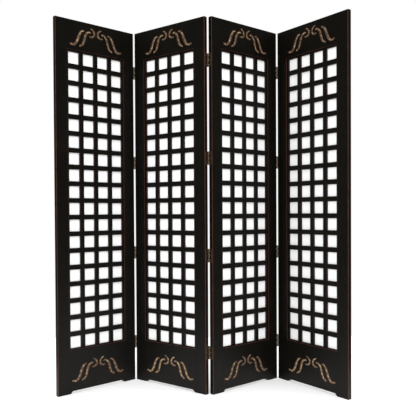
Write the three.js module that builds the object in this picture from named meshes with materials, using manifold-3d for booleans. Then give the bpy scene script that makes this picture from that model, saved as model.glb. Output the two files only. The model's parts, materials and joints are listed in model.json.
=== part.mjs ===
// Four-panel shoji folding screen: grooved and mortised frames, a pierced grille
// with paper behind it in each, and butt hinges on alternate faces.
// Millimetres, +Z up. Each panel is drawn in its own frame: x runs along the panel
// from its left end, y runs from the front face to the back face, z is up.

import * as THREE from "three";
import * as BufferGeometryUtils from "three/addons/utils/BufferGeometryUtils.js";
import Module from "manifold-3d";

const wasm = await Module();
wasm.setup();

// ---- driving dimensions ----

// panels
const PANEL_COUNT = 4;
const PANEL_W = 447;
const PANEL_H = 1829;
const PANEL_T = 23;
const STILE_W = 64;
const TOP_RAIL_H = 146;
const BOTTOM_RAIL_TOP = 216.5;
const EASED_ARRIS = 1.2;
const FOOT_LIFT = 12;
const FOOT_SLOPE = 11;
const FOOT_LAND = 3;

// direction of each panel in plan, as the screen stands, in degrees from +X
const PANEL_HEADINGS = [39.4, -36.4, 37.6, -52.8];

// tenons on the rails, mortises in the stiles
const TENON_T = 8;
const TENON_SHOULDER = 22;
const MORTISE_WALL = 25;
const JOINERY_GAP = 0.3;

// grille and paper, housed in a groove round the opening
const GRILLE_COLUMNS = 4;
const GRILLE_ROWS = 18;
const UPRIGHT_BAR_W = 22.3;
const CROSS_BAR_W = 23.8;
const GRILLE_BORDER = 8;
const GRILLE_FOOT_BORDER = 4.5;
const GRILLE_T = 9.6;
const GRILLE_RECESS = 6.7;
const PAPER_T = 0.6;
const PAPER_GAP = 0.3;
const GROOVE_DEPTH = 6;
const GROOVE_CLEARANCE = 0.3;

// butt hinges
const HINGE_LEVELS = ["top", "upper", "lower", "bottom"];
const HINGE_TOP_DROP = 207;
const HINGE_BOTTOM_RISE = 202;
const HINGE_H = 63.5;
const KNUCKLE_COUNT = 5;
const KNUCKLE_R = 3.2;
const KNUCKLE_GAP = 0.4;
const BARREL_STANDOFF = 3.3;
const BARREL_PROUD = 1.5;
const LEAF_T = 1.8;
const LEAF_W = 21;
const LEAF_SEAT = 0.3;
const PIN_R = 1.4;
const PIN_RUNNING_GAP = 0.35;
const PIN_HEAD_R = 2.7;
const PIN_HEAD_H = 1.6;
const PIN_END_PLAY = 0.3;
const BARREL_SIDES = 8;

// carved scrolls, half of the mirrored pair: points run outwards from the middle of
// the rail (first number) and up or down from the middle of the ornament (second)
const SCROLLS = [
  { width: 16, points: [[67, 35], [82, 29], [92, 15], [100, -4], [109, -26], [124, -41], [149, -39]] },
  { width: 15, points: [[28, 32], [43, 32], [55, 23], [63, 6], [68, -14], [76, -33], [95, -46]] },
  { width: 12, points: [[31, 54], [17, 45], [10, 33], [12, 20], [23, 12], [39, 12]] },
];
const SCROLL_DEPTH = 2.6;
const SCROLL_TIP = 0.5;
const SCROLL_STATIONS = 7;
const TOP_SCROLL_DROP = 77;
const BOTTOM_SCROLL_RISE = 102;

// cutters run past the faces they open by this much
const CUT_PAST = 1;

// ---- sizes that follow ----

const OPENING_W = PANEL_W - 2 * STILE_W;
const OPENING_BOTTOM = BOTTOM_RAIL_TOP;
const OPENING_TOP = PANEL_H - TOP_RAIL_H;
const TENON_L = STILE_W - MORTISE_WALL - JOINERY_GAP;
const TENON_FRONT = (PANEL_T - TENON_T) / 2;
const GROOVE_FRONT = GRILLE_RECESS - GROOVE_CLEARANCE;
const PAPER_FRONT = GRILLE_RECESS + GRILLE_T + PAPER_GAP;
const GROOVE_BACK = PAPER_FRONT + PAPER_T + GROOVE_CLEARANCE;
const HOUSED_EDGE = GROOVE_DEPTH - GROOVE_CLEARANCE;
const BORE_R = PIN_R + PIN_RUNNING_GAP;
const KNUCKLE_L = (HINGE_H - (KNUCKLE_COUNT - 1) * KNUCKLE_GAP) / KNUCKLE_COUNT;
const KNUCKLE_PITCH = KNUCKLE_L + KNUCKLE_GAP;
const HINGE_PITCH = (PANEL_H - HINGE_TOP_DROP - HINGE_BOTTOM_RISE) / (HINGE_LEVELS.length - 1);

// ---- finishes ----

const blackLacquer = { color: 0x1a1815, roughness: 0.42, metalness: 0.0 };
const grilleLacquer = { color: 0x1c1a16, roughness: 0.48, metalness: 0.0 };
const whitePaper = { color: 0xf6f4ee, roughness: 0.9, metalness: 0.0 };
const agedBrass = { color: 0x7a6648, roughness: 0.45, metalness: 0.85 };

// ---- solids ----

function toSolid(geometry) {
  const bare = geometry.clone();
  bare.deleteAttribute("normal");
  bare.deleteAttribute("uv");
  const merged = BufferGeometryUtils.mergeVertices(bare, 1e-4);
  const mesh = new wasm.Mesh({
    numProp: 3,
    vertProperties: new Float32Array(merged.attributes.position.array),
    triVerts: new Uint32Array(merged.index.array),
  });
  return new wasm.Manifold(mesh);
}

function toGeometry(solid) {
  const mesh = solid.getMesh();
  const geometry = new THREE.BufferGeometry();
  geometry.setAttribute("position", new THREE.BufferAttribute(mesh.vertProperties, 3));
  geometry.setIndex(new THREE.BufferAttribute(mesh.triVerts, 1));
  return geometry;
}

function block(x0, x1, y0, y1, z0, z1) {
  const geometry = new THREE.BoxGeometry(x1 - x0, y1 - y0, z1 - z0);
  return geometry.translate((x0 + x1) / 2, (y0 + y1) / 2, (z0 + z1) / 2);
}

function upright(shape, z0, z1) {
  const geometry = new THREE.ExtrudeGeometry(shape, { depth: z1 - z0, bevelEnabled: false });
  return geometry.translate(0, 0, z0);
}

// a shape drawn on the panel's face, given its thickness from y0 backwards
function board(shape, y0, thickness) {
  const geometry = new THREE.ExtrudeGeometry(shape, { depth: thickness, bevelEnabled: false });
  return geometry.rotateX(Math.PI / 2).translate(0, y0 + thickness, 0);
}

// the same solid for the other hand, left and right exchanged
function otherHand(geometry) {
  const mirrored = geometry.clone().scale(-1, 1, 1);
  const corners = mirrored.index.array;
  for (let i = 0; i < corners.length; i += 3) {
    [corners[i], corners[i + 1]] = [corners[i + 1], corners[i]];
  }
  return mirrored;
}

function outline(points) {
  return new THREE.Shape(points.map(([x, y]) => new THREE.Vector2(x, y)));
}

// ---- frame ----

// the left stile: outer arrises eased, its opening side (x = STILE_W) left square
function leftStileGeometry() {
  const section = outline([
    [EASED_ARRIS, 0],
    [STILE_W, 0],
    [STILE_W, PANEL_T],
    [EASED_ARRIS, PANEL_T],
    [0, PANEL_T - EASED_ARRIS],
    [0, EASED_ARRIS],
  ]);
  const groove = block(
    STILE_W - GROOVE_DEPTH,
    STILE_W + CUT_PAST,
    GROOVE_FRONT,
    GROOVE_BACK,
    OPENING_BOTTOM - GROOVE_DEPTH,
    OPENING_TOP + GROOVE_DEPTH,
  );
  return toGeometry(
    toSolid(upright(section, 0, PANEL_H))
      .subtract(toSolid(groove))
      .subtract(toSolid(mortise(OPENING_TOP, PANEL_H)))
      .subtract(toSolid(mortise(FOOT_LIFT, BOTTOM_RAIL_TOP))),
  );
}

// the pocket for the tenon of a rail that reaches from z0 to z1
function mortise(z0, z1) {
  return block(
    MORTISE_WALL,
    STILE_W + CUT_PAST,
    TENON_FRONT - JOINERY_GAP,
    PANEL_T - TENON_FRONT + JOINERY_GAP,
    z0 + TENON_SHOULDER - JOINERY_GAP,
    z1 - TENON_SHOULDER + JOINERY_GAP,
  );
}

function tenons(z0, z1) {
  const railEnd = OPENING_W / 2 - JOINERY_GAP;
  return block(
    -railEnd - TENON_L,
    railEnd + TENON_L,
    TENON_FRONT,
    PANEL_T - TENON_FRONT,
    z0 + TENON_SHOULDER,
    z1 - TENON_SHOULDER,
  );
}

// rails are drawn about the middle of the panel
function railGroove(z0, z1) {
  return block(-OPENING_W, OPENING_W, GROOVE_FRONT, GROOVE_BACK, z0, z1);
}

function topRailGeometry() {
  const railEnd = OPENING_W / 2 - JOINERY_GAP;
  let rail = toSolid(block(-railEnd, railEnd, 0, PANEL_T, OPENING_TOP, PANEL_H));
  rail = rail.add(toSolid(tenons(OPENING_TOP, PANEL_H)));
  rail = rail.subtract(toSolid(railGroove(OPENING_TOP - CUT_PAST, OPENING_TOP + GROOVE_DEPTH)));
  return toGeometry(carveScrolls(rail, PANEL_H - TOP_SCROLL_DROP));
}

function bottomRailGeometry() {
  const railEnd = OPENING_W / 2 - JOINERY_GAP;
  const landEnd = railEnd - FOOT_LAND;
  const archEnd = landEnd - FOOT_SLOPE;
  const face = outline([
    [-railEnd, 0],
    [-landEnd, 0],
    [-archEnd, FOOT_LIFT],
    [archEnd, FOOT_LIFT],
    [landEnd, 0],
    [railEnd, 0],
    [railEnd, BOTTOM_RAIL_TOP],
    [-railEnd, BOTTOM_RAIL_TOP],
  ]);
  let rail = toSolid(board(face, 0, PANEL_T));
  rail = rail.add(toSolid(tenons(FOOT_LIFT, BOTTOM_RAIL_TOP)));
  rail = rail.subtract(toSolid(railGroove(OPENING_BOTTOM - GROOVE_DEPTH, OPENING_BOTTOM + CUT_PAST)));
  return toGeometry(carveScrolls(rail, BOTTOM_SCROLL_RISE));
}

// ---- carved scrolls ----

// one V-cut stroke that swells in the middle and runs out at both ends
function strokeCutter(scroll, side, middleZ) {
  const curve = new THREE.CatmullRomCurve3(
    scroll.points.map(([out, up]) => new THREE.Vector3(side * out, 0, middleZ + up)),
    false,
    "centripetal",
  );
  const positions = [];
  for (let i = 0; i < SCROLL_STATIONS; i += 1) {
    const s = i / (SCROLL_STATIONS - 1);
    const centre = curve.getPointAt(s);
    const along = curve.getTangentAt(s);
    const swell = SCROLL_TIP + (1 - SCROLL_TIP) * Math.sin(Math.PI * s);
    const depth = SCROLL_DEPTH * swell;
    const halfWidth = (scroll.width / 2) * swell * ((depth + CUT_PAST) / depth);
    positions.push(centre.x - along.z * halfWidth, -CUT_PAST, centre.z + along.x * halfWidth);
    positions.push(centre.x, depth, centre.z);
    positions.push(centre.x + along.z * halfWidth, -CUT_PAST, centre.z - along.x * halfWidth);
  }
  return sweptTriangle(positions, SCROLL_STATIONS);
}

// skins rings of three points and closes both ends
function sweptTriangle(positions, rings) {
  const index = [0, 1, 2];
  for (let ring = 0; ring < rings - 1; ring += 1) {
    for (let corner = 0; corner < 3; corner += 1) {
      const a = ring * 3 + corner;
      const b = ring * 3 + ((corner + 1) % 3);
      index.push(a, b + 3, b, a, a + 3, b + 3);
    }
  }
  const last = (rings - 1) * 3;
  index.push(last, last + 2, last + 1);
  const geometry = new THREE.BufferGeometry();
  geometry.setAttribute("position", new THREE.Float32BufferAttribute(positions, 3));
  geometry.setIndex(index);
  return geometry;
}

function carveScrolls(rail, middleZ) {
  let carved = rail;
  for (const scroll of SCROLLS) {
    for (const side of [-1, 1]) {
      carved = carved.subtract(toSolid(strokeCutter(scroll, side, middleZ)));
    }
  }
  return carved;
}

// ---- grille and paper ----

// what lies in the groove all round the opening, from its front face backwards
function housedEdges(front, thickness) {
  return [
    STILE_W - HOUSED_EDGE,
    PANEL_W - STILE_W + HOUSED_EDGE,
    front,
    front + thickness,
    OPENING_BOTTOM - HOUSED_EDGE,
    OPENING_TOP + HOUSED_EDGE,
  ];
}

function grilleGeometry() {
  const piercedW = OPENING_W - 2 * GRILLE_BORDER;
  const piercedH = OPENING_TOP - OPENING_BOTTOM - GRILLE_BORDER - GRILLE_FOOT_BORDER;
  const windowW = (piercedW - (GRILLE_COLUMNS - 1) * UPRIGHT_BAR_W) / GRILLE_COLUMNS;
  const windowH = (piercedH - (GRILLE_ROWS - 1) * CROSS_BAR_W) / GRILLE_ROWS;
  let grille = toSolid(block(...housedEdges(GRILLE_RECESS, GRILLE_T)));
  for (let column = 0; column < GRILLE_COLUMNS; column += 1) {
    for (let row = 0; row < GRILLE_ROWS; row += 1) {
      const x = STILE_W + GRILLE_BORDER + column * (windowW + UPRIGHT_BAR_W);
      const z = OPENING_BOTTOM + GRILLE_FOOT_BORDER + row * (windowH + CROSS_BAR_W);
      const front = GRILLE_RECESS - CUT_PAST;
      const back = GRILLE_RECESS + GRILLE_T + CUT_PAST;
      grille = grille.subtract(toSolid(block(x, x + windowW, front, back, z, z + windowH)));
    }
  }
  return toGeometry(grille);
}

function paperGeometry() {
  return block(...housedEdges(PAPER_FRONT, PAPER_T));
}

// ---- hinges ----

function roundBar(radius, z0, z1) {
  const geometry = new THREE.CylinderGeometry(radius, radius, z1 - z0, BARREL_SIDES);
  return geometry.rotateX(Math.PI / 2).translate(0, 0, (z0 + z1) / 2);
}

// A leaf about its pin's axis. The plate lies on the end face at x = -BARREL_STANDOFF and
// runs back along +y; its knuckles are those whose number, from 0, is odd or even.
function leafGeometry(parity) {
  const plateX = -BARREL_STANDOFF + LEAF_SEAT;
  let leaf = toSolid(block(plateX, plateX + LEAF_T, 0, LEAF_W, -HINGE_H / 2, HINGE_H / 2));
  for (let k = 0; k < KNUCKLE_COUNT; k += 1) {
    const z0 = -HINGE_H / 2 + k * KNUCKLE_PITCH;
    if (k % 2 === parity) {
      leaf = leaf.add(toSolid(roundBar(KNUCKLE_R, z0, z0 + KNUCKLE_L)));
    } else {
      const reach = KNUCKLE_R + KNUCKLE_GAP;
      const slot = block(-reach, reach, -reach, reach, z0 - KNUCKLE_GAP, z0 + KNUCKLE_PITCH);
      leaf = leaf.subtract(toSolid(slot));
    }
  }
  const bore = roundBar(BORE_R, -HINGE_H / 2 - CUT_PAST, HINGE_H / 2 + CUT_PAST);
  return toGeometry(leaf.subtract(toSolid(bore)));
}

function pinGeometry() {
  const shoulder = HINGE_H / 2 + PIN_END_PLAY;
  const tip = shoulder + PIN_HEAD_H;
  const profile = [
    [0, -tip],
    [PIN_HEAD_R, -shoulder],
    [PIN_R, -shoulder],
    [PIN_R, shoulder],
    [PIN_HEAD_R, shoulder],
    [0, tip],
  ];
  const lathe = new THREE.LatheGeometry(
    profile.map(([r, z]) => new THREE.Vector2(r, z)),
    BARREL_SIDES,
  );
  return toGeometry(toSolid(lathe.rotateX(Math.PI / 2)));
}

// ---- assembly ----

function part(name, geometry, finish) {
  const mesh = new THREE.Mesh(geometry, new THREE.MeshStandardMaterial(finish));
  mesh.name = name;
  return mesh;
}

function buildPanel(number, shapes) {
  const panel = new THREE.Group();
  const leftStile = part(`panel_${number}_stile_left`, shapes.leftStile, blackLacquer);
  const rightStile = part(`panel_${number}_stile_right`, shapes.rightStile, blackLacquer);
  rightStile.position.x = PANEL_W;
  const topRail = part(`panel_${number}_top_rail`, shapes.topRail, blackLacquer);
  topRail.position.x = PANEL_W / 2;
  const bottomRail = part(`panel_${number}_bottom_rail`, shapes.bottomRail, blackLacquer);
  bottomRail.position.x = PANEL_W / 2;
  const grille = part(`panel_${number}_grille`, shapes.grille, grilleLacquer);
  const paper = part(`panel_${number}_paper`, shapes.paper, whitePaper);
  panel.add(leftStile, rightStile, topRail, bottomRail, grille, paper);
  return panel;
}

// Joints alternate: the first folds on the front faces, the second on the back faces.
function foldsToFront(joint) {
  return joint % 2 === 0;
}

function barrelY(joint) {
  return foldsToFront(joint) ? -BARREL_PROUD : PANEL_T + BARREL_PROUD;
}

// the pin axis of a joint, seen from the panel on its left and from the one on its right
function axisFromLeftPanel(joint) {
  return new THREE.Vector2(PANEL_W + BARREL_STANDOFF, barrelY(joint));
}

function axisFromRightPanel(joint) {
  return new THREE.Vector2(-BARREL_STANDOFF, barrelY(joint));
}

// chains the panels along their pin axes
function placePanels(panels) {
  const origin = new THREE.Vector2();
  panels.forEach((panel, i) => {
    const heading = THREE.MathUtils.degToRad(PANEL_HEADINGS[i]);
    if (i > 0) {
      const before = THREE.MathUtils.degToRad(PANEL_HEADINGS[i - 1]);
      const centre = new THREE.Vector2();
      origin.add(axisFromLeftPanel(i - 1).rotateAround(centre, before));
      origin.sub(axisFromRightPanel(i - 1).rotateAround(centre, heading));
    }
    panel.position.set(origin.x, origin.y, 0);
    panel.rotation.z = heading;
  });
}

// the outer knuckles and the pin ride on the left panel, the inner knuckles on the right one
function hangHinges(joint, leftPanel, rightPanel, shapes) {
  const toFront = foldsToFront(joint);
  HINGE_LEVELS.forEach((level, i) => {
    const z = PANEL_H - HINGE_TOP_DROP - i * HINGE_PITCH;
    const name = `hinge_${joint + 1}${joint + 2}_${level}`;
    const outer = part(`${name}_outer_leaf`, shapes.outerLeaf, agedBrass);
    const inner = part(`${name}_inner_leaf`, shapes.innerLeaf, agedBrass);
    const pin = part(`${name}_pin`, shapes.pin, agedBrass);
    const fromLeft = axisFromLeftPanel(joint);
    const fromRight = axisFromRightPanel(joint);
    outer.position.set(fromLeft.x, fromLeft.y, z);
    outer.rotation.x = toFront ? 0 : Math.PI;
    pin.position.set(fromLeft.x, fromLeft.y, z);
    inner.position.set(fromRight.x, fromRight.y, z);
    inner.rotation.y = toFront ? Math.PI : 0;
    inner.rotation.z = toFront ? 0 : Math.PI;
    leftPanel.add(outer, pin);
    rightPanel.add(inner);
  });
}

function buildScreen() {
  const leftStile = leftStileGeometry();
  const shapes = {
    leftStile,
    rightStile: otherHand(leftStile),
    topRail: topRailGeometry(),
    bottomRail: bottomRailGeometry(),
    grille: grilleGeometry(),
    paper: paperGeometry(),
    outerLeaf: leafGeometry(0),
    innerLeaf: leafGeometry(1),
    pin: pinGeometry(),
  };
  const screen = new THREE.Group();
  const panels = [];
  for (let number = 1; number <= PANEL_COUNT; number += 1) {
    panels.push(buildPanel(number, shapes));
  }
  placePanels(panels);
  for (let joint = 0; joint < PANEL_COUNT - 1; joint += 1) {
    hangHinges(joint, panels[joint], panels[joint + 1], shapes);
  }
  screen.add(...panels);
  const middle = new THREE.Box3().setFromObject(screen, true).getCenter(new THREE.Vector3());
  screen.position.set(-middle.x, -middle.y, 0);
  screen.updateMatrixWorld(true);
  return screen;
}

export default buildScreen();
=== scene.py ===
import json
import math

import bmesh
import bpy
from mathutils import Matrix, Vector, noise
from mathutils.geometry import delaunay_2d_cdt


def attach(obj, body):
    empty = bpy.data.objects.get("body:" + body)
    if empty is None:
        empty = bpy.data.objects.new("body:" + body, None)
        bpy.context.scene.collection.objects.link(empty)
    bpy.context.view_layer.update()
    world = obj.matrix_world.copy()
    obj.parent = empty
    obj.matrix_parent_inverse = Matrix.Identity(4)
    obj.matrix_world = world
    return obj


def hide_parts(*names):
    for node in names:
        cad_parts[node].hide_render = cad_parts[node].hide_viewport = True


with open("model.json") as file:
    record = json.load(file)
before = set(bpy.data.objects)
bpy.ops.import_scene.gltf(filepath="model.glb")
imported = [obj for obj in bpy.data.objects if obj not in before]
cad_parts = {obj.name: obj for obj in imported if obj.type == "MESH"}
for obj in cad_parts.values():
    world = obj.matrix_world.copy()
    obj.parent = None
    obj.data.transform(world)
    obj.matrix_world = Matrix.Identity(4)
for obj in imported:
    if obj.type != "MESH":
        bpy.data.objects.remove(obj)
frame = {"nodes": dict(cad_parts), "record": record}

# Four-panel folding screen. Metres, +Z up. Pieces of a panel are drawn in the panel's own
# frame: x runs along the panel from its left end, y from the front face to the back, z up.

MM = 0.001
SAME_PLACE = 0.1 * MM
FRAME_SIDE_PX = 416
UP = Vector((0, 0, 1))

PANELS = (1, 2, 3, 4)
HINGE_LEVELS = ("top", "upper", "lower", "bottom")
# joint between two panels, and whether its barrels lie on the front faces
JOINTS = {"12": (1, 2, True), "23": (2, 3, False), "34": (3, 4, True)}


# ---- sizes read from the frame ----

def node_points(node):
    return [vertex.co for vertex in frame["nodes"][node].data.vertices]


def box_of(points):
    """The lowest and the highest coordinates of some points."""
    low = Vector([min(point[axis] for point in points) for axis in range(3)])
    high = Vector([max(point[axis] for point in points) for axis in range(3)])
    return low, high


def panel_matrix(number):
    """The panel's own frame, from the middles of its two feet and its left stile."""
    mounts = {mount["name"]: Vector(mount["pos_m"]) for mount in frame["record"]["mounts"]}
    along = (mounts[f"foot_{number}_right"] - mounts[f"foot_{number}_left"]).normalized()
    back = Vector((-along.y, along.x, 0))
    to_panel = Matrix((along, back, UP))
    stile = [to_panel @ corner for corner in node_points(f"panel_{number}_stile_left")]
    lowest = box_of(stile)[0]
    to_world = to_panel.transposed()
    return Matrix.Translation(to_world @ lowest) @ to_world.to_4x4()


PLACES = {number: panel_matrix(number) for number in PANELS}


def local_points(node):
    """The corners of a node of panel 1, in the panel's own frame."""
    to_panel = PLACES[1].inverted()
    return [to_panel @ corner for corner in node_points(node)]


def local_box(node):
    """The lowest and the highest corner of a node of panel 1, in the panel's own frame."""
    return box_of(local_points(node))


def levels(node, axis):
    """The different coordinates that a node's corners have along one axis, in order."""
    found = []
    for value in sorted(point[axis] for point in local_points(node)):
        if not found or value - found[-1] > SAME_PLACE:
            found.append(value)
    return found


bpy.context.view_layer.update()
STILE_W, PANEL_T, PANEL_H = local_box("panel_1_stile_left")[1]
PANEL_W = local_box("panel_1_stile_right")[1].x
OPENING_TOP = local_box("panel_1_top_rail")[0].z
OPENING_BOTTOM = local_box("panel_1_bottom_rail")[1].z
WINDOW_EDGES_X = levels("panel_1_grille", 0)
WINDOW_EDGES_Z = levels("panel_1_grille", 2)
GRILLE_LOW, GRILLE_HIGH = local_box("panel_1_grille")
PAPER_LOW, PAPER_HIGH = local_box("panel_1_paper")

# ---- sizes that the frame doesn't hold ----

JOINERY_GAP = 0.3 * MM
GROOVE_DEPTH = 6 * MM
GROOVE_CLEARANCE = 0.3 * MM
GROOVE_INSET = 0.5 * MM
RUB_RUN_OUT = 6 * MM
FOOT_LIFT = 12 * MM
FOOT_SLOPE = 11 * MM
FOOT_LAND = 3 * MM
GROOVE_FRONT = GRILLE_LOW.y - GROOVE_CLEARANCE
GROOVE_BACK = PAPER_HIGH.y + GROOVE_CLEARANCE

KNUCKLE_COUNT = 5
KNUCKLE_GAP = 0.4 * MM
BORE_R = 1.75 * MM
LEAF_FRONT = -1.2 * MM
LEAF_T = 1.8 * MM
LEAF_ROOT = 1.0 * MM
LEAF_CORNER_R = 1.6 * MM
PIN_R = 1.4 * MM
PIN_HEAD_R = 2.6 * MM
PIN_HEAD_H = 1.6 * MM
PIN_END_PLAY = 0.3 * MM

# carved scrolls, half of the mirrored pair, in millimetres: points run outwards from the
# middle of the rail and up or down from the middle of the ornament
SCROLLS = (
    (16, ((67, 35), (82, 29), (92, 15), (100, -4), (109, -26), (124, -41), (149, -39))),
    (15, ((28, 32), (43, 32), (55, 23), (63, 6), (68, -14), (76, -33), (95, -46))),
    (12, ((31, 54), (17, 45), (10, 33), (12, 20), (23, 12), (39, 12))),
)
TOP_SCROLL_DROP = 77 * MM
BOTTOM_SCROLL_RISE = 102 * MM
SCROLL_DEPTH = 2.6 * MM
SCROLL_TIP = 0.62
SCROLL_TIP_ROUNDING = 1.6
SCROLL_STATIONS = 44
SCROLL_FACETS = 10
ROUND_BOTTOM = 0.22

# ---- camera, as the photograph was taken ----

CAMERA_AT = Vector((-0.0706, -2.7967, 0.8869))
CAMERA_PITCH = 0.0148
CAMERA_ROLL = -0.0057
CAMERA_FOCUS_PX = 558.0
CAMERA_CENTRE_PX = (-21.8, 12.5)
SENSOR_MM = 36


def make_camera():
    data = bpy.data.cameras.new("camera")
    data.sensor_width = SENSOR_MM
    data.lens = SENSOR_MM * CAMERA_FOCUS_PX / FRAME_SIDE_PX
    data.shift_x = -CAMERA_CENTRE_PX[0] / FRAME_SIDE_PX
    data.shift_y = CAMERA_CENTRE_PX[1] / FRAME_SIDE_PX
    camera = bpy.data.objects.new("camera", data)
    bpy.context.scene.collection.objects.link(camera)
    ahead = Vector((0, math.cos(CAMERA_PITCH), -math.sin(CAMERA_PITCH)))
    above = Vector((0, math.sin(CAMERA_PITCH), math.cos(CAMERA_PITCH)))
    aside = Vector((1, 0, 0))
    turn, lean = math.cos(CAMERA_ROLL), math.sin(CAMERA_ROLL)
    right = aside * turn + above * lean
    top = above * turn - aside * lean
    camera.matrix_world = Matrix.Translation(CAMERA_AT) @ Matrix((right, top, -ahead)).transposed().to_4x4()
    bpy.context.scene.camera = camera


# ---- node materials ----

class Shader:
    """A material's node tree, with one short call for each kind of node used here."""

    def __init__(self, name, **settings):
        self.material = bpy.data.materials.new(name)
        self.material.use_nodes = True
        self.nodes = self.material.node_tree.nodes
        self.links = self.material.node_tree.links
        self.surface = self.nodes["Principled BSDF"]
        for socket, value in settings.items():
            self.surface.inputs[socket.replace("_", " ")].default_value = value
        self.place = self.nodes.new("ShaderNodeTexCoord").outputs["Object"]

    def feed(self, socket, value):
        if isinstance(value, (int, float, tuple)):
            socket.default_value = value
        else:
            self.links.new(value, socket)

    def stretched(self, scale):
        node = self.nodes.new("ShaderNodeMapping")
        node.inputs["Scale"].default_value = scale
        self.links.new(self.place, node.inputs["Vector"])
        return node.outputs["Vector"]

    def noise(self, place, scale, detail=2.0, roughness=0.5):
        node = self.nodes.new("ShaderNodeTexNoise")
        self.links.new(place, node.inputs["Vector"])
        node.inputs["Scale"].default_value = scale
        node.inputs["Detail"].default_value = detail
        node.inputs["Roughness"].default_value = roughness
        return node.outputs["Fac"]

    def attribute(self, name):
        node = self.nodes.new("ShaderNodeAttribute")
        node.attribute_name = name
        return node.outputs["Fac"]

    def math(self, operation, a, b=0.0):
        node = self.nodes.new("ShaderNodeMath")
        node.operation = operation
        self.feed(node.inputs[0], a)
        self.feed(node.inputs[1], b)
        return node.outputs["Value"]

    def scaled(self, value, factor, plus):
        return self.math("ADD", self.math("MULTIPLY", value, factor), plus)

    def between(self, value, low, high, to_low=0.0, to_high=1.0):
        node = self.nodes.new("ShaderNodeMapRange")
        node.interpolation_type = "SMOOTHSTEP"
        self.feed(node.inputs["Value"], value)
        self.feed(node.inputs["From Min"], low)
        self.feed(node.inputs["From Max"], high)
        self.feed(node.inputs["To Min"], to_low)
        self.feed(node.inputs["To Max"], to_high)
        return node.outputs["Result"]

    def mix(self, share, a, b):
        node = self.nodes.new("ShaderNodeMix")
        node.data_type = "RGBA"
        self.feed(node.inputs["Factor"], share)
        self.feed(node.inputs[6], a)
        self.feed(node.inputs[7], b)
        return node.outputs[2]

    def bump(self, height, distance, strength=1.0, under=None):
        node = self.nodes.new("ShaderNodeBump")
        node.inputs["Strength"].default_value = strength
        node.inputs["Distance"].default_value = distance
        self.links.new(height, node.inputs["Height"])
        if under is not None:
            self.links.new(under, node.inputs["Normal"])
        return node.outputs["Normal"]

    def finish(self, **sockets):
        for socket, value in sockets.items():
            self.feed(self.surface.inputs[socket.replace("_", " ")], value)
        return self.material


def rgb(red, green, blue):
    return (red, green, blue, 1.0)


BLACK = rgb(0.0032, 0.0030, 0.0020)
BROWN_BLACK = rgb(0.0052, 0.0041, 0.0027)
RED_BROWN = rgb(0.060, 0.018, 0.013)
BARE_WOOD = rgb(0.105, 0.040, 0.026)

DULL_GOLD = rgb(0.15, 0.095, 0.044)
BRIGHT_GOLD = rgb(0.60, 0.45, 0.26)
DARK_GROUND = rgb(0.030, 0.011, 0.007)
RED_GROUND = rgb(0.095, 0.042, 0.024)

THIN_PAPER = rgb(0.925, 0.93, 0.925)
THICK_PAPER = rgb(0.955, 0.96, 0.955)
FIBRE = rgb(0.975, 0.975, 0.965)
# painted shade of the bars behind the paper
PAPER_SHADED_BY_BARS = rgb(0.60, 0.59, 0.57)

# the hinge flats: dark patina, and painted shade of the gap between the panels
DARK_PATINA_AND_SHADE = rgb(0.010, 0.007, 0.004)
LIGHT_PATINA_AND_SHADE = rgb(0.024, 0.016, 0.009)
DARK_TAN = rgb(0.15, 0.100, 0.060)
LIGHT_TAN = rgb(0.24, 0.175, 0.105)
BRIGHT_BRASS = rgb(0.42, 0.32, 0.19)


def lacquer(name, grain, rub):
    """Black lacquer brushed along the grain, rubbed to red-brown where the wear attribute is high."""
    shader = Shader(name, Specular_IOR_Level=0.17)
    along = shader.noise(shader.stretched(grain), 1.0, detail=4.0, roughness=0.62)
    mottle = shader.noise(shader.place, 7.0, detail=3.0)
    peel = shader.noise(shader.place, 900.0, detail=1.0)
    patches = shader.noise(shader.place, 26.0, detail=5.0, roughness=0.65)
    wear = shader.attribute("wear")
    uneven = shader.scaled(patches, 0.9, -0.45)
    rubbed = shader.math("ADD", wear, uneven)
    thin = shader.between(rubbed, 0.36, 0.74, 0.0, rub)
    bare = shader.between(rubbed, 0.86, 1.18, 0.0, rub * 0.75)
    black = shader.mix(shader.between(mottle, 0.35, 0.75), BLACK, BROWN_BLACK)
    colour = shader.mix(bare, shader.mix(thin, black, RED_BROWN), BARE_WOOD)
    dull = shader.scaled(along, 0.16, 0.32)
    rough = shader.math("ADD", dull, shader.math("MULTIPLY", thin, 0.14))
    brushed = shader.bump(along, 0.00022, 0.55)
    normal = shader.bump(peel, 0.00006, 0.5, under=brushed)
    return shader.finish(Base_Color=colour, Roughness=rough, Normal=normal)


def gilding(name, rubbed_away):
    """Antique gold wiped into the carving, lying in the hollow and rubbed to red-brown at the rims."""
    shader = Shader(name, Specular_IOR_Level=0.4)
    across = shader.attribute("across")
    flecks = shader.noise(shader.place, 150.0, detail=5.0, roughness=0.7)
    patches = shader.noise(shader.place, 110.0, detail=4.0, roughness=0.7)
    rim = shader.between(across, 0.4, 0.95, 0.0, 0.4)
    worn = shader.math("ADD", shader.math("ADD", patches, rim), rubbed_away)
    bare = shader.between(worn, 0.5, 0.64)
    gold = shader.mix(shader.between(flecks, 0.42, 0.6), DULL_GOLD, BRIGHT_GOLD)
    ground = shader.mix(flecks, DARK_GROUND, RED_GROUND)
    colour = shader.mix(bare, gold, ground)
    metal = shader.between(bare, 0.0, 1.0, 0.35, 0.0)
    rough = shader.between(flecks, 0.25, 0.75, 0.4, 0.65)
    normal = shader.bump(flecks, 0.0006, 0.6)
    return shader.finish(Base_Color=colour, Metallic=metal, Roughness=rough, Normal=normal)


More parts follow.
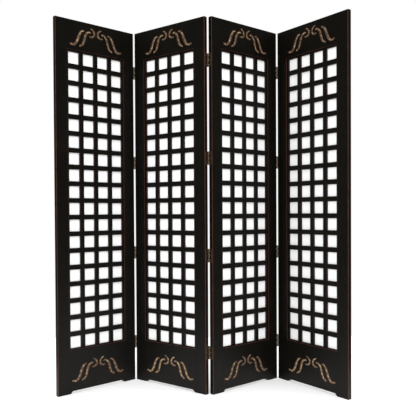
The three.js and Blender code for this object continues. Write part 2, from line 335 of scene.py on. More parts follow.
def shoji_paper():
    """White paper with long fibres in it; the bars it is glued to are put on it as faint painted shade."""
    shader = Shader("shoji_paper", Specular_IOR_Level=0.2)
    long_fibres = shader.noise(shader.stretched((55, 55, 900)), 1.0, detail=3.0, roughness=0.7)
    cross_fibres = shader.noise(shader.stretched((700, 700, 70)), 1.0, detail=3.0, roughness=0.7)
    cloud = shader.noise(shader.place, 30.0, detail=3.0)
    upright = shader.between(long_fibres, 0.58, 0.72)
    level = shader.between(cross_fibres, 0.6, 0.74)
    strands = shader.math("MAXIMUM", upright, level)
    sheet = shader.mix(cloud, THIN_PAPER, THICK_PAPER)
    colour = shader.mix(shader.math("MULTIPLY", strands, 0.5), sheet, FIBRE)
    # painted shade: the paper darkens where a bar lies behind it and just inside each window's edge
    bar_shade = shader.math("MULTIPLY", shader.attribute("across"), 0.55)
    colour = shader.mix(bar_shade, colour, PAPER_SHADED_BY_BARS)
    rough = shader.between(cloud, 0.3, 0.7, 0.82, 0.95)
    height = shader.math("ADD", strands, shader.math("MULTIPLY", cloud, 0.6))
    normal = shader.bump(height, 0.00012, 0.5)
    return shader.finish(Base_Color=colour, Roughness=rough, Normal=normal)


def aged_brass():
    """Browned brass, nearly black on the flats as dark patina and as painted shade of the gap between
    panels, and a dull tan where the wear attribute is high.
    """
    shader = Shader("aged_brass", Specular_IOR_Level=0.25)
    spots = shader.noise(shader.place, 420.0, detail=4.0, roughness=0.7)
    patches = shader.noise(shader.place, 150.0, detail=3.0)
    wear = shader.attribute("wear")
    rubbed = shader.math("ADD", wear, shader.scaled(patches, 0.7, -0.35))
    # painted shade: the flats are kept nearly black, as if shaded in the gap between panels
    patina_and_shade = shader.mix(shader.between(spots, 0.35, 0.7), DARK_PATINA_AND_SHADE, LIGHT_PATINA_AND_SHADE)
    tan = shader.mix(shader.between(spots, 0.3, 0.7), DARK_TAN, LIGHT_TAN)
    colour = shader.mix(shader.between(rubbed, 0.15, 0.6), patina_and_shade, tan)
    colour = shader.mix(shader.between(rubbed, 0.8, 1.2), colour, BRIGHT_BRASS)
    metal = shader.between(rubbed, 0.15, 1.0, 0.3, 0.8)
    rough = shader.between(spots, 0.3, 0.75, 0.38, 0.6)
    normal = shader.bump(spots, 0.0001, 0.5)
    return shader.finish(Base_Color=colour, Metallic=metal, Roughness=rough, Normal=normal)


FINE_ACROSS, SLOW_ALONG = 420, 9
STILE_LACQUER = lacquer("lacquer_upright", (FINE_ACROSS, FINE_ACROSS, SLOW_ALONG), rub=1.0)
RAIL_LACQUER = lacquer("lacquer_level", (SLOW_ALONG, FINE_ACROSS, FINE_ACROSS), rub=1.0)
GRILLE_LACQUER = lacquer("lacquer_grille", (FINE_ACROSS, FINE_ACROSS, SLOW_ALONG), rub=0.4)
WORN_GILDING = gilding("gilding_worn", rubbed_away=0.08)
BRIGHT_GILDING = gilding("gilding_bright", rubbed_away=0.01)
PAPER = shoji_paper()
BRASS = aged_brass()


# ---- meshes ----

SHARP_ANGLE = math.radians(34)


class Skin:
    """Points with a wear value and an across value each, and faces with a material number."""

    def __init__(self):
        self.points = []
        self.wear = []
        self.across = []
        self.faces = []
        self.finishes = []

    def point(self, place, wear=0.0, across=0.0):
        self.points.append(tuple(place))
        self.wear.append(wear)
        self.across.append(across)
        return len(self.points) - 1

    def face(self, corners, finish=0):
        corners = [corner for i, corner in enumerate(corners) if corner != corners[i - 1]]
        if len(corners) > 2:
            self.faces.append(corners)
            self.finishes.append(finish)

    def bridge(self, ring, other, finish=0, closed=True):
        """Faces between two rings of as many points."""
        count = len(ring)
        for i in range(count if closed else count - 1):
            j = (i + 1) % count
            self.face([ring[i], ring[j], other[j], other[i]], finish)

    def add(self, other, placed):
        """Another skin's points, each put through placed, and its faces."""
        start = len(self.points)
        for point, wear, across in zip(other.points, other.wear, other.across):
            self.point(placed(point), wear, across)
        for corners, finish in zip(other.faces, other.finishes):
            self.face([corner + start for corner in corners], finish)

    def mesh(self, name, materials):
        mesh = bpy.data.meshes.new(name)
        mesh.from_pydata(self.points, [], self.faces)
        for material in materials:
            mesh.materials.append(material)
        mesh.polygons.foreach_set("material_index", self.finishes)
        for attribute, values in (("wear", self.wear), ("across", self.across)):
            mesh.attributes.new(attribute, "FLOAT", "POINT").data.foreach_set("value", values)
        mesh.shade_smooth()
        mesh.set_sharp_from_angle(angle=SHARP_ANGLE)
        mesh.validate()
        face_outwards(mesh)
        return mesh


def face_outwards(mesh):
    work = bmesh.new()
    work.from_mesh(mesh)
    bmesh.ops.recalc_face_normals(work, faces=work.faces)
    work.to_mesh(mesh)
    work.free()


def place_piece(mesh, name, matrix, body, slot, *nodes):
    piece = bpy.data.objects.new(name, mesh)
    bpy.context.scene.collection.objects.link(piece)
    piece.matrix_world = matrix
    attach(piece, body)
    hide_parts(*nodes)


ARRIS_R = 1.3 * MM
ARRIS_STEPS = 4
WEAR_BESIDE = 0.55


def edge_steps(radius, worn, near, far):
    """A quarter round, with a near and a far line beside it on the side wall and on the face."""
    side = [(0.0, radius + far, 0.0), (0.0, radius + near, worn * WEAR_BESIDE)]
    rounded = []
    for i in range(ARRIS_STEPS + 1):
        angle = math.pi / 2 * i / ARRIS_STEPS
        rounded.append((radius * (1 - math.cos(angle)), radius * (1 - math.sin(angle)), worn))
    face = [(radius + near, 0.0, worn * WEAR_BESIDE), (radius + far, 0.0, 0.0)]
    return side + rounded + face


# how an edge is shaped, in steps from the side wall to the face: how far in, how deep, how worn
RUBBED = edge_steps(ARRIS_R, 1.0, 0.8 * MM, 2.6 * MM)
INNER = edge_steps(1.0 * MM, 0.85, 0.6 * MM, 2.0 * MM)
OVERHEAD = edge_steps(1.0 * MM, 0.66, 0.6 * MM, 2.0 * MM)
HANDLED = edge_steps(ARRIS_R, 0.45, 0.8 * MM, 2.4 * MM)
PLAIN = edge_steps(0.8 * MM, 0.15, 0.5 * MM, 1.0 * MM)
BUTTED = edge_steps(0.25 * MM, 0.0, 0.4 * MM, 0.9 * MM)


STRAIGHT = 1e-6


def moved_in(outline, distances):
    """The outline with each edge moved inwards by its own distance; edge i starts at point i."""
    ring = []
    count = len(outline)
    for i, here in enumerate(outline):
        before = (here - outline[i - 1]).normalized()
        after = (outline[(i + 1) % count] - here).normalized()
        in_before = Vector((-before.y, before.x)) * distances[i - 1]
        in_after = Vector((-after.y, after.x)) * distances[i]
        turn = before.x * after.y - before.y * after.x
        if abs(turn) < STRAIGHT:
            ring.append(here + max(in_before, in_after, key=lambda step: step.length))
            continue
        gap = in_after - in_before
        ring.append(here + in_before + before * ((gap.x * after.y - gap.y * after.x) / turn))
    return ring


def edge_rings(skin, outline, kinds, to_depth):
    """Rings of points from the side wall to the face; to_depth turns a depth into y."""
    rings = []
    for step in range(len(kinds[0])):
        ring = moved_in(outline, [kind[step][0] for kind in kinds])
        made = []
        for i, point in enumerate(ring):
            meeting = (kinds[i - 1][step], kinds[i][step])
            depth = max(meeting[0][1], meeting[1][1])
            wear = max(meeting[0][2], meeting[1][2])
            made.append(skin.point((point.x, to_depth(depth), point.y), wear))
        rings.append(made)
    for ring, other in zip(rings, rings[1:]):
        skin.bridge(ring, other)
    return rings


INSIDE_FACES = 1
SAME_POINT = 1e-7


def fill_face(skin, ring, holes=()):
    """Triangles between a ring of points and the hole rings inside it."""
    used = list(ring)
    loops = [list(range(len(ring)))]
    for hole in holes:
        loops.append(list(range(len(used), len(used) + len(hole))))
        used += hole
    flat = [Vector((skin.points[i][0], skin.points[i][2])) for i in used]
    edges = [(loop[i - 1], loop[i]) for loop in loops[1:] for i in range(len(loop))]
    places, _, triangles, sources = delaunay_2d_cdt(flat, edges, [loops[0]], INSIDE_FACES, SAME_POINT)[:4]
    hole_outlines = [[flat[i] for i in loop] for loop in loops[1:]]
    for triangle in triangles:
        middle = sum((places[i] for i in triangle), Vector((0, 0))) / len(triangle)
        if not any(inside(middle, outline) for outline in hole_outlines):
            skin.face([used[sources[i][0]] for i in triangle])


def inside(point, outline):
    """Whether a line from the point along +x crosses the outline an odd number of times."""
    odd = False
    for i, b in enumerate(outline):
        a = outline[i - 1]
        if (a.y > point.y) != (b.y > point.y):
            crossing = (b.x - a.x) * (point.y - a.y) / (b.y - a.y) + a.x
            odd ^= point.x < crossing
    return odd


# ---- frame boards ----

def with_run_outs(outline, kinds):
    """Points added near both ends of each butted edge, so that wear beside it dies out there."""
    fuller, fuller_kinds = [], []
    for i, (start, kind) in enumerate(zip(outline, kinds)):
        fuller.append(start)
        fuller_kinds.append(kind)
        if kind is BUTTED:
            end = outline[(i + 1) % len(outline)]
            along = (end - start).normalized() * RUB_RUN_OUT
            fuller += [start + along, end - along]
            fuller_kinds += [kind, kind]
    return fuller, fuller_kinds


def board(outline, kinds, grooved, scrolls=()):
    """A board with shaped edges. Its edge of the grooved kind holds the grille and the paper."""
    skin = Skin()
    outline, kinds = with_run_outs([Vector(point) for point in outline], kinds)
    front = edge_rings(skin, outline, kinds, lambda depth: depth)
    back = edge_rings(skin, outline, kinds, lambda depth: PANEL_T - depth)
    holes = [carve(skin, scroll) for scroll in scrolls]
    fill_face(skin, front[-1], holes)
    fill_face(skin, back[-1])
    count = len(outline)
    for i in range(count):
        j = (i + 1) % count
        wall = [front[0][i], front[0][j], back[0][j], back[0][i]]
        if kinds[i] is grooved:
            groove(skin, wall, outline[i], outline[j])
        else:
            skin.face(wall)
    return skin


def groove(skin, wall, start, end):
    """The side wall of an edge, with the groove in it that holds the grille and the paper."""
    along = (end - start).normalized()
    inwards = Vector((-along.y, along.x)) * GROOVE_DEPTH
    near, far = start + along * GROOVE_INSET, end - along * GROOVE_INSET
    corners = ((near, GROOVE_FRONT), (far, GROOVE_FRONT), (far, GROOVE_BACK), (near, GROOVE_BACK))
    mouth = [skin.point((place.x, depth, place.y)) for place, depth in corners]
    floor = [skin.point((place.x + inwards.x, depth, place.y + inwards.y)) for place, depth in corners]
    skin.bridge(wall, mouth)
    skin.bridge(mouth, floor)
    skin.face(floor)


# ---- carved scrolls ----

SPAN_SAMPLES = 24


def smooth_line(points):
    """A centripetal curve through the points, and its length so far at each sample."""
    ends = [points[0] * 2 - points[1], *points, points[-1] * 2 - points[-2]]
    line = []
    for i in range(1, len(ends) - 2):
        a, b, c, d = ends[i - 1:i + 3]
        knots = [0.0]
        for p, q in ((a, b), (b, c), (c, d)):
            knots.append(knots[-1] + math.sqrt((q - p).length))
        for step in range(SPAN_SAMPLES):
            t = knots[1] + (knots[2] - knots[1]) * step / SPAN_SAMPLES
            line.append(centripetal((a, b, c, d), knots, t))
    line.append(points[-1])
    lengths = [0.0]
    for p, q in zip(line, line[1:]):
        lengths.append(lengths[-1] + (q - p).length)
    return line, lengths


def centripetal(corners, knots, t):
    def blend(p, q, low, high):
        return p * ((high - t) / (high - low)) + q * ((t - low) / (high - low))
    a, b, c, d = corners
    ab = blend(a, b, knots[0], knots[1])
    bc = blend(b, c, knots[1], knots[2])
    cd = blend(c, d, knots[2], knots[3])
    return blend(blend(ab, bc, knots[0], knots[2]), blend(bc, cd, knots[1], knots[3]), knots[1], knots[2])


def at_length(line, lengths, wanted):
    for i in range(1, len(line)):
        if lengths[i] >= wanted:
            share = (wanted - lengths[i - 1]) / (lengths[i] - lengths[i - 1])
            return line[i - 1].lerp(line[i], share), (line[i] - line[i - 1]).normalized()
    return line[-1], (line[-1] - line[-2]).normalized()


def hollow(t):
    """Depth of the cut across a stroke, from 0 at the rims to 1 in the middle."""
    low, high = ROUND_BOTTOM, math.hypot(1, ROUND_BOTTOM)
    return (high - math.hypot(t, ROUND_BOTTOM)) / (high - low)


def carve(skin, scroll):
    """One hollow stroke in a rail's face. Returns its rim as a ring of points."""
    width, points = scroll
    line, lengths = smooth_line(points)
    total = lengths[-1]
    half = width / 2
    rows = []
    for i in range(SCROLL_STATIONS + 1):
        share = (1 - math.cos(math.pi * i / SCROLL_STATIONS)) / 2
        centre, along = at_length(line, lengths, total * share)
        swell = SCROLL_TIP + (1 - SCROLL_TIP) * math.sin(math.pi * share)
        to_end = min(share, 1 - share) * total
        rounding = half * swell * SCROLL_TIP_ROUNDING
        if to_end < rounding:
            swell *= math.sqrt(max(0.0, 1 - ((rounding - to_end) / rounding) ** 2))
        row = []
        for j in range(SCROLL_FACETS + 1):
            t = 2 * j / SCROLL_FACETS - 1
            side = Vector((-along.y, along.x)) * half * swell * t
            depth = SCROLL_DEPTH * swell * hollow(t)
            if i in (0, SCROLL_STATIONS) and j:
                row.append(row[0])
            else:
                row.append(skin.point((centre.x + side.x, depth, centre.y + side.y), 0.0, abs(t)))
        rows.append(row)
    for row, other in zip(rows, rows[1:]):
        skin.bridge(row, other, finish=1, closed=False)
    inner = rows[1:-1]
    return [rows[0][0], *[row[0] for row in inner], rows[-1][0], *[row[-1] for row in reversed(inner)]]


def scroll_pair(middle_z):
    """The strokes of the ornament in the middle of a rail, in panel metres."""
    strokes = []
    for width, points in SCROLLS:
        for side in (-1, 1):
            line = [Vector((PANEL_W / 2 + side * out * MM, middle_z + up * MM)) for out, up in points]
            strokes.append((width * MM, line))
    return strokes


# ---- stiles and rails ----

def stile(left, outer_kind):
    """A stile, anticlockwise as seen from the front. Its inner arris is rubbed along the opening."""
    outline = [
        (0, 0),
        (STILE_W, 0),
        (STILE_W, OPENING_BOTTOM),
        (STILE_W, OPENING_TOP),
        (STILE_W, PANEL_H),
        (0, PANEL_H),
    ]
    kinds = [PLAIN, BUTTED, INNER, BUTTED, HANDLED, outer_kind]
    if not left:
        outline = [(PANEL_W - x, z) for x, z in reversed(outline)]
        kinds = [*reversed(kinds[:-1]), outer_kind]
    return board(outline, kinds, grooved=INNER)


def top_rail():
    start, end = STILE_W + JOINERY_GAP, PANEL_W - STILE_W - JOINERY_GAP
    outline = [(start, OPENING_TOP), (end, OPENING_TOP), (end, PANEL_H), (start, PANEL_H)]
    kinds = [OVERHEAD, BUTTED, HANDLED, BUTTED]
    return board(outline, kinds, grooved=OVERHEAD, scrolls=scroll_pair(PANEL_H - TOP_SCROLL_DROP))


def bottom_rail():
    start, end = STILE_W + JOINERY_GAP, PANEL_W - STILE_W - JOINERY_GAP
    land, arch = FOOT_LAND, FOOT_LAND + FOOT_SLOPE
    outline = [
        (start, 0),
        (start + land, 0),
        (start + arch, FOOT_LIFT),
        (end - arch, FOOT_LIFT),
        (end - land, 0),
        (end, 0),
        (end, OPENING_BOTTOM),
        (start, OPENING_BOTTOM),
    ]
    kinds = [PLAIN, PLAIN, PLAIN, PLAIN, PLAIN, BUTTED, INNER, BUTTED]
    return board(outline, kinds, grooved=INNER, scrolls=scroll_pair(BOTTOM_SCROLL_RISE))


# ---- grille and paper ----

WINDOW_ARRIS = 0.9 * MM
WINDOW_ARRIS_STEPS = 3
WINDOW_BEVEL = WINDOW_ARRIS / 2
WINDOW_RUB = 1.6 * MM
WALL_RUB = 3 * WINDOW_ARRIS


def grille():
    """A plate with rows of windows, each with a softened edge front and back."""
    skin = Skin()
    front, back = GRILLE_LOW.y, GRILLE_HIGH.y
    margin = WINDOW_ARRIS + WINDOW_RUB
    columns = face_lines(WINDOW_EDGES_X, margin)
    rows = face_lines(WINDOW_EDGES_Z, margin)
    last_x, last_z = len(columns) - 1, len(rows) - 1
    sheets = []
    for y in (front, back):
        sheet = [[skin.point((x, y, z)) for z in rows] for x in columns]
        for i in range(last_x):
            for j in range(last_z):
                if not (i % 2 and j % 2):
                    skin.face(cell(sheet, i, j))
        sheets.append(sheet)
    for i in range(1, last_x, 2):
        for j in range(1, last_z, 2):
            window(skin, sheets, i, j, (columns[i], columns[i + 1]), (rows[j], rows[j + 1]), margin)
    skin.bridge(outer_ring(sheets[0]), outer_ring(sheets[1]))
    return skin


def face_lines(edges, margin):
    """Lines across the plate: its two ends, and both sides of each window moved out by the margin."""
    lines = [edges[0]]
    for low, high in zip(edges[1:-1:2], edges[2:-1:2]):
        lines += [low - margin, high + margin]
    return [*lines, edges[-1]]


def cell(sheet, i, j):
    """The four corners of one cell of a sheet of points."""
    return [sheet[i][j], sheet[i + 1][j], sheet[i + 1][j + 1], sheet[i][j + 1]]


def outer_ring(sheet):
    """The points round the outside of a sheet, in order."""
    last_x, last_z = len(sheet) - 1, len(sheet[0]) - 1
    ring = [sheet[i][0] for i in range(last_x)]
    ring += [sheet[last_x][j] for j in range(last_z)]
    ring += [sheet[i][last_z] for i in range(last_x, 0, -1)]
    ring += [sheet[0][j] for j in range(last_z, 0, -1)]
    return ring


def window(skin, sheets, i, j, xs, zs, margin):
    """The walls of one window: an arris rounded at the front, and a small bevel at the back."""
    front, back = GRILLE_LOW.y, GRILLE_HIGH.y
    steps = [(WINDOW_ARRIS, front, 0.75)]
    for k in range(1, WINDOW_ARRIS_STEPS + 1):
        angle = math.pi / 2 * k / WINDOW_ARRIS_STEPS
        inwards, deeper = WINDOW_ARRIS * (1 - math.sin(angle)), WINDOW_ARRIS * (1 - math.cos(angle))
        steps.append((inwards, front + deeper, 0.9))
    steps.append((0.0, front + WALL_RUB, 0.3))
    steps.append((0.0, back - WALL_RUB, 0.1))
    steps.append((0.0, back - WINDOW_BEVEL, 0.3))
    steps.append((WINDOW_BEVEL, back, 0.3))
    rings = [cell(sheets[0], i, j)]
    for out, y, wear in steps:
        inset = margin - out
        x0, x1, z0, z1 = xs[0] + inset, xs[1] - inset, zs[0] + inset, zs[1] - inset
        corners = ((x0, y, z0), (x1, y, z0), (x1, y, z1), (x0, y, z1))
        rings.append([skin.point(corner, wear) for corner in corners])
    rings.append(cell(sheets[1], i, j))
    for ring, other in zip(rings, rings[1:]):
        skin.bridge(ring, other)


PAPER_CELLS = 5
PAPER_SWELL = 0.12 * MM
SWELLS_PER_METRE = 24
SHEET_TO_SHEET = 7.0
# how far into a window the bars' painted shade reaches
BAR_SHADE_FADE = 1.5 * MM


def paper_lines(edges):
    """Lines across the sheet, each with 1 where it is glued to a bar and 0 where it spans a window, for the
    bars' painted shade.
    """
    lines = [(edges[0], 1.0)]
    for low, high in zip(edges[1:-1:2], edges[2:-1:2]):
        free_low, free_high = low + BAR_SHADE_FADE, high - BAR_SHADE_FADE
        lines.append((low, 1.0))
        for step in range(PAPER_CELLS + 1):
            lines.append((free_low + (free_high - free_low) * step / PAPER_CELLS, 0.0))
        lines.append((high, 1.0))
    return [*lines, (edges[-1], 1.0)]


def paper(number):
    """A sheet glued behind the grille, faintly uneven where it is stretched over the windows."""
    skin = Skin()
    columns, rows = paper_lines(WINDOW_EDGES_X), paper_lines(WINDOW_EDGES_Z)
    sheets = []
    for y, way in ((PAPER_LOW.y, 1), (PAPER_HIGH.y, -1)):
        sheet = []
        for x, bar_shade_x in columns:
            line = []
            for z, bar_shade_z in rows:
                spot = Vector((x * SWELLS_PER_METRE, number * SHEET_TO_SHEET, z * SWELLS_PER_METRE))
                depth = y + way * PAPER_SWELL * (0.5 + 0.5 * noise.noise(spot))
                # across carries the bars' painted shade
                line.append(skin.point((x, depth, z), across=max(bar_shade_x, bar_shade_z)))
            sheet.append(line)
        sheets.append(sheet)
        for i in range(len(columns) - 1):
            for j in range(len(rows) - 1):
                skin.face(cell(sheet, i, j))
    skin.bridge(outer_ring(sheets[0]), outer_ring(sheets[1]))
    return skin


# ---- hinges ----

# drawn about the pin's axis, as on the front of a left-hand panel: the leaf lies on the panel's
# end at -x and runs back along +y

LEAF_EDGE = edge_steps(0.35 * MM, 0.9, 0.15 * MM, 0.5 * MM)
TURNED_SIDES = 24
END_ROUNDING = 0.45 * MM
ROUNDING_STEPS = 4
BORE_CHAMFER = 0.2 * MM
PIN_DOME_STEPS = 5
PIN_HEAD_RUB = 0.15 * MM

# screws: depths count from the open face of the plate
SCREW_LEVELS = (-22 * MM, 0, 22 * MM)
SCREW_OFFSET = 2.4 * MM
SCREW_HEAD_R = 2.3 * MM
SCREW_CROWN_R = 2.0 * MM
SCREW_PROUD = 0.15 * MM
SCREW_BRIM = 0.1 * MM
SCREW_SEAT = 0.63 * MM
SCREW_SLOT_W = 0.7 * MM
SCREW_SLOT_L = 3.8 * MM
SCREW_SLOT_FLOOR = 0.315 * MM
SINK_R = 2.7 * MM
SINK_BED_R = 2.4 * MM
SINK_DEPTH = 0.45 * MM
SINK_RUB = 0.6 * MM
# the angles of the screws' slots: the first one's, the step to the next, and what the inner
# leaf's have on top
SLOT_TURN, SLOT_STEP, SLOT_LEAD = 0.5, 1.1, 0.7


def hinge_centre(joint, level):
    low, high = box_of(node_points(f"hinge_{joint}_{level}_pin"))
    return (low + high) / 2


def leaf_sizes():
    """Knuckle radius, leaf width and hinge height, from the first hinge's outer leaf."""
    low, high = local_box("hinge_12_top_outer_leaf")
    centre = PLACES[1].inverted() @ hinge_centre("12", "top")
    return centre.x - low.x, high.y - centre.y, high.z - low.z


KNUCKLE_R, LEAF_W, HINGE_H = leaf_sizes()
KNUCKLE_L = (HINGE_H - (KNUCKLE_COUNT - 1) * KNUCKLE_GAP) / KNUCKLE_COUNT
KNUCKLE_PITCH = KNUCKLE_L + KNUCKLE_GAP


def turned(skin, profile, closed=False):
    """A solid turned about z from radius, height and wear values."""
    rings = []
    for radius, height, wear in profile:
        if radius == 0:
            rings.append([skin.point((0, 0, height), wear)] * TURNED_SIDES)
            continue
        ring = []
        for side in range(TURNED_SIDES):
            angle = 2 * math.pi * side / TURNED_SIDES
            ring.append(skin.point((radius * math.cos(angle), radius * math.sin(angle), height), wear))
        rings.append(ring)
    if closed:
        rings.append(rings[0])
    for ring, other in zip(rings, rings[1:]):
        skin.bridge(ring, other)


def knuckle(skin, low, high):
    """A bored tube with rounded ends."""
    upper = [(BORE_R, high - BORE_CHAMFER, 0.2), (BORE_R + BORE_CHAMFER, high, 0.4)]
    for step in range(ROUNDING_STEPS + 1):
        angle = math.pi / 2 * step / ROUNDING_STEPS
        inwards = END_ROUNDING * (1 - math.sin(angle))
        down = END_ROUNDING * (1 - math.cos(angle))
        upper.append((KNUCKLE_R - inwards, high - down, 1.0))
    upper.append((KNUCKLE_R, high - 2 * END_ROUNDING, 0.55))
    lower = [(radius, low + high - height, wear) for radius, height, wear in reversed(upper)]
    turned(skin, [*upper, *lower], closed=True)


def leaf_outline(parity):
    """The plate's outline, notched where the other leaf's knuckles turn; x is the way back from the axis."""
    reach = KNUCKLE_R + KNUCKLE_GAP
    half = HINGE_H / 2
    points = []
    for z, start in ((-half, -90), (half, 0)):
        centre = Vector((LEAF_W - LEAF_CORNER_R, z + math.copysign(LEAF_CORNER_R, -z)))
        for step in range(ROUNDING_STEPS + 1):
            angle = math.radians(start + 90 * step / ROUNDING_STEPS)
            points.append(centre + Vector((math.cos(angle), math.sin(angle))) * LEAF_CORNER_R)
    for k in reversed(range(KNUCKLE_COUNT)):
        low = max(-half, -half + k * KNUCKLE_PITCH - KNUCKLE_GAP)
        high = min(half, -half + k * KNUCKLE_PITCH + KNUCKLE_L + KNUCKLE_GAP)
        if k % 2 != parity:
            points += [Vector((reach, high)), Vector((reach, low))]
        else:
            inner_high = half if k == KNUCKLE_COUNT - 1 else high - 2 * KNUCKLE_GAP
            inner_low = -half if k == 0 else low + 2 * KNUCKLE_GAP
            points += [Vector((LEAF_ROOT, inner_high)), Vector((LEAF_ROOT, inner_low))]
    return points


SCREW_SIDES = 20


def round_line(skin, centre, radius, depth, wear):
    """A ring of points round a screw's axis."""
    ring = []
    for side in range(SCREW_SIDES):
        angle = 2 * math.pi * side / SCREW_SIDES
        x, z = centre.x + radius * math.cos(angle), centre.y + radius * math.sin(angle)
        ring.append(skin.point((x, depth, z), wear))
    return ring


def screw(skin, centre, angle):
    """A countersunk head with a slot, bedded in its recess."""
    seat = round_line(skin, centre, SCREW_HEAD_R, SCREW_SEAT, 0.0)
    brim = round_line(skin, centre, SCREW_HEAD_R, SCREW_BRIM, 0.6)
    crown = round_line(skin, centre, SCREW_CROWN_R, -SCREW_PROUD, 1.0)
    skin.face(seat)
    skin.bridge(seat, brim)
    skin.bridge(brim, crown)
    along = Vector((math.cos(angle), math.sin(angle))) * SCREW_SLOT_L / 2
    aside = Vector((-math.sin(angle), math.cos(angle))) * SCREW_SLOT_W / 2
    near, far = centre - along, centre + along
    corners = [near - aside, far - aside, far + aside, near + aside]
    mouth = [skin.point((corner.x, -SCREW_PROUD, corner.y), 0.9) for corner in corners]
    floor = [skin.point((corner.x, SCREW_SLOT_FLOOR, corner.y), 0.0) for corner in corners]
    fill_face(skin, crown, [mouth])
    skin.bridge(mouth, floor)
    skin.face(floor)


def plate(parity):
    """A leaf's plate with its screws, drawn face on: depth runs from the open face to the seat."""
    skin = Skin()
    outline = leaf_outline(parity)
    kinds = [LEAF_EDGE] * len(outline)
    front = edge_rings(skin, outline, kinds, lambda depth: depth)
    back = edge_rings(skin, outline, kinds, lambda depth: LEAF_T - depth)
    skin.bridge(front[0], back[0])
    fill_face(skin, back[-1])
    sinks = []
    middle = (KNUCKLE_R + KNUCKLE_GAP + LEAF_W) / 2
    for i, level in enumerate(SCREW_LEVELS):
        centre = Vector((middle + (SCREW_OFFSET if i % 2 else -SCREW_OFFSET), level))
        clear = round_line(skin, centre, SINK_R + SINK_RUB, 0.0, 0.0)
        rim = round_line(skin, centre, SINK_R, 0.0, 0.7)
        bed = round_line(skin, centre, SINK_BED_R, SINK_DEPTH, 0.0)
        skin.bridge(clear, rim)
        skin.bridge(rim, bed)
        skin.face(bed)
        sinks.append(clear)
        screw(skin, centre, angle=SLOT_TURN + SLOT_STEP * i + SLOT_LEAD * parity)
    fill_face(skin, front[-1], sinks)
    return skin


def leaf(parity):
    """One leaf with its knuckles: the outer three for parity 0, the two between them for parity 1."""
    skin = Skin()
    skin.add(plate(parity), lambda point: (LEAF_FRONT - point[1], point[0], point[2]))
    for k in range(parity, KNUCKLE_COUNT, 2):
        low = -HINGE_H / 2 + k * KNUCKLE_PITCH
        knuckle(skin, low, low + KNUCKLE_L)
    return skin


def hinge_pin():
    """A plain pin with a domed head at each end."""
    skin = Skin()
    shoulder = HINGE_H / 2 + PIN_END_PLAY
    upper = [(0, shoulder + PIN_HEAD_H, 0.8)]
    for step in range(1, PIN_DOME_STEPS + 1):
        angle = math.pi / 2 * step / PIN_DOME_STEPS
        upper.append((PIN_HEAD_R * math.sin(angle), shoulder + PIN_HEAD_H * math.cos(angle), 0.9))
    upper += [(PIN_HEAD_R - PIN_HEAD_RUB, shoulder, 0.4), (PIN_R, shoulder, 0.0)]
    lower = [(radius, -height, wear) for radius, height, wear in reversed(upper)]
    turned(skin, [*upper, *lower])
    return skin


def half_turn(axis):
    return Matrix.Rotation(math.pi, 4, axis)


def hang_hinges():
    shapes = {
        "outer_leaf": leaf(0).mesh("hinge_outer_leaf", [BRASS]),
        "inner_leaf": leaf(1).mesh("hinge_inner_leaf", [BRASS]),
        "pin": hinge_pin().mesh("hinge_pin", [BRASS]),
    }
    for joint, (left, right, in_front) in JOINTS.items():
        hung = {
            "outer_leaf": (left, Matrix() if in_front else half_turn("X")),
            "inner_leaf": (right, half_turn("Y" if in_front else "Z")),
            "pin": (left, Matrix()),
        }
        for level in HINGE_LEVELS:
            centre = Matrix.Translation(hinge_centre(joint, level))
            for part, (number, turn) in hung.items():
                matrix = centre @ PLACES[number].to_3x3().to_4x4() @ turn
                name, node = f"butt_{joint}_{level}_{part}", f"hinge_{joint}_{level}_{part}"
                place_piece(shapes[part], name, matrix, f"panel_{number}", "aged_brass", node)


# ---- assembly ----

# the stile of each panel that comes nearest to the viewer, whose outer arris is rubbed
NEAR_STILES = {1: "left", 2: "right", 3: "left", 4: "right"}
BRIGHT_BOTTOM_RAILS = (2, 4)


def panel_shapes():
    """The meshes that the panels share, by name."""
    worn, bright = [RAIL_LACQUER, WORN_GILDING], [RAIL_LACQUER, BRIGHT_GILDING]
    shapes = {
        "top_rail": top_rail().mesh("top_rail", worn),
        "bottom_rail_worn": bottom_rail().mesh("bottom_rail_worn", worn),
        "bottom_rail_bright": bottom_rail().mesh("bottom_rail_bright", bright),
        "grille": grille().mesh("grille", [GRILLE_LACQUER]),
    }
    for kind, outer in (("rubbed", RUBBED), ("handled", HANDLED)):
        for side in ("left", "right"):
            name = f"stile_{side}_{kind}"
            shapes[name] = stile(side == "left", outer).mesh(name, [STILE_LACQUER])
    return shapes


def build_panel(number, shapes):
    body = f"panel_{number}"

    def place(mesh, name, slot, node):
        place_piece(mesh, f"screen_{number}_{name}", PLACES[number], body, slot, f"{body}_{node}")

    bottom = "bottom_rail_bright" if number in BRIGHT_BOTTOM_RAILS else "bottom_rail_worn"
    place(shapes["top_rail"], "top_rail", "black_lacquer", "top_rail")
    place(shapes[bottom], "bottom_rail", "black_lacquer", "bottom_rail")
    place(shapes["grille"], "grille", "grille_lacquer", "grille")
    for side in ("left", "right"):
        kind = "rubbed" if NEAR_STILES[number] == side else "handled"
        place(shapes[f"stile_{side}_{kind}"], side, "black_lacquer", f"stile_{side}")
    place(paper(number).mesh(f"paper_{number}", [PAPER]), "paper", "shoji_paper", "paper")


def build_panels():
    shapes = panel_shapes()
    for number in PANELS:
        build_panel(number, shapes)


# ---- floor and light ----

FLOOR_HALF = 1.15


def floor_material():
    shader = Shader("floor", Specular_IOR_Level=0.1, Emission_Color=rgb(1, 1, 1), Emission_Strength=0.2)
    cloud = shader.noise(shader.place, 1.2, detail=2.0)
    colour = shader.mix(cloud, rgb(0.90, 0.90, 0.90), rgb(0.92, 0.92, 0.92))
    return shader.finish(Base_Color=colour, Roughness=0.9)


def make_floor():
    half = FLOOR_HALF
    mesh = bpy.data.meshes.new("floor")
    corners = [(-half, -half, 0), (half, -half, 0), (half, half, 0), (-half, half, 0)]
    mesh.from_pydata(corners, [], [(0, 1, 2, 3)])
    mesh.materials.append(floor_material())
    floor = bpy.data.objects.new("floor", mesh)
    bpy.context.scene.collection.objects.link(floor)


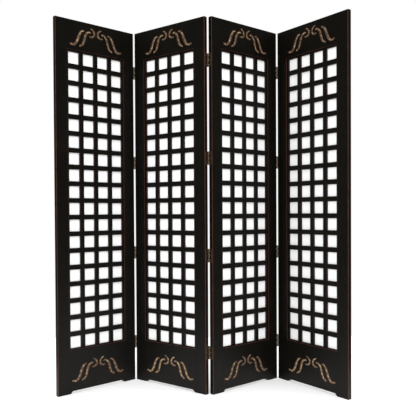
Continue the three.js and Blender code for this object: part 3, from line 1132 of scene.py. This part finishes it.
def add_light(data, pointing, at=(0, 0, 0)):
    """A light that nothing mirrors."""
    light = bpy.data.objects.new(data.name, data)
    bpy.context.scene.collection.objects.link(light)
    light.location = at
    light.rotation_euler = pointing.to_euler()
    light.visible_glossy = False


def area_light(name, at, towards, size, power):
    data = bpy.data.lights.new(name, "AREA")
    data.shape = "RECTANGLE"
    data.size, data.size_y = size
    data.energy = power
    add_light(data, (Vector(towards) - Vector(at)).to_track_quat("-Z", "Y"), at)


def sun_light(name, coming_from, strength, spread):
    data = bpy.data.lights.new(name, "SUN")
    data.energy = strength
    data.angle = spread
    add_light(data, Vector(coming_from).to_track_quat("Z", "Y"))


def make_world():
    """White to the camera, dimmer where the lacquer mirrors it."""
    world = bpy.data.worlds.new("studio")
    bpy.context.scene.world = world
    world.use_nodes = True
    nodes, links = world.node_tree.nodes, world.node_tree.links
    nodes.remove(nodes["Background"])

    def background(colour, strength):
        node = nodes.new("ShaderNodeBackground")
        node.inputs["Color"].default_value = colour
        node.inputs["Strength"].default_value = strength
        return node.outputs["Background"]

    def where(ray, special, usual):
        node = nodes.new("ShaderNodeMixShader")
        links.new(ray, node.inputs["Fac"])
        links.new(usual, node.inputs[1])
        links.new(special, node.inputs[2])
        return node.outputs["Shader"]

    rays = nodes.new("ShaderNodeLightPath").outputs
    fill = background(rgb(1.0, 1.0, 1.0), 1.15)
    mirrored = background(rgb(1.0, 0.98, 0.9), 0.16)
    seen = background(rgb(1.0, 1.0, 1.0), 1.0)
    lit = where(rays["Is Glossy Ray"], mirrored, fill)
    shown = where(rays["Is Camera Ray"], seen, lit)
    links.new(shown, nodes["World Output"].inputs["Surface"])


def make_studio():
    make_world()
    make_floor()
    area_light("key", at=(2.2, -3.4, 3.2), towards=(0, 0, 0.8), size=(2.4, 1.6), power=55)
    area_light("fill", at=(-3.0, -2.6, 2.2), towards=(0, 0, 0.7), size=(2.5, 2.0), power=45)
    sun_light("sky", coming_from=(0.25, -0.45, 1.0), strength=0.45, spread=math.radians(40))
    view = bpy.context.scene.view_settings
    view.view_transform = "Standard"
    view.look = "None"
    view.exposure = 0.0
    view.gamma = 1.0


make_camera()
make_studio()
build_panels()
hang_hinges()
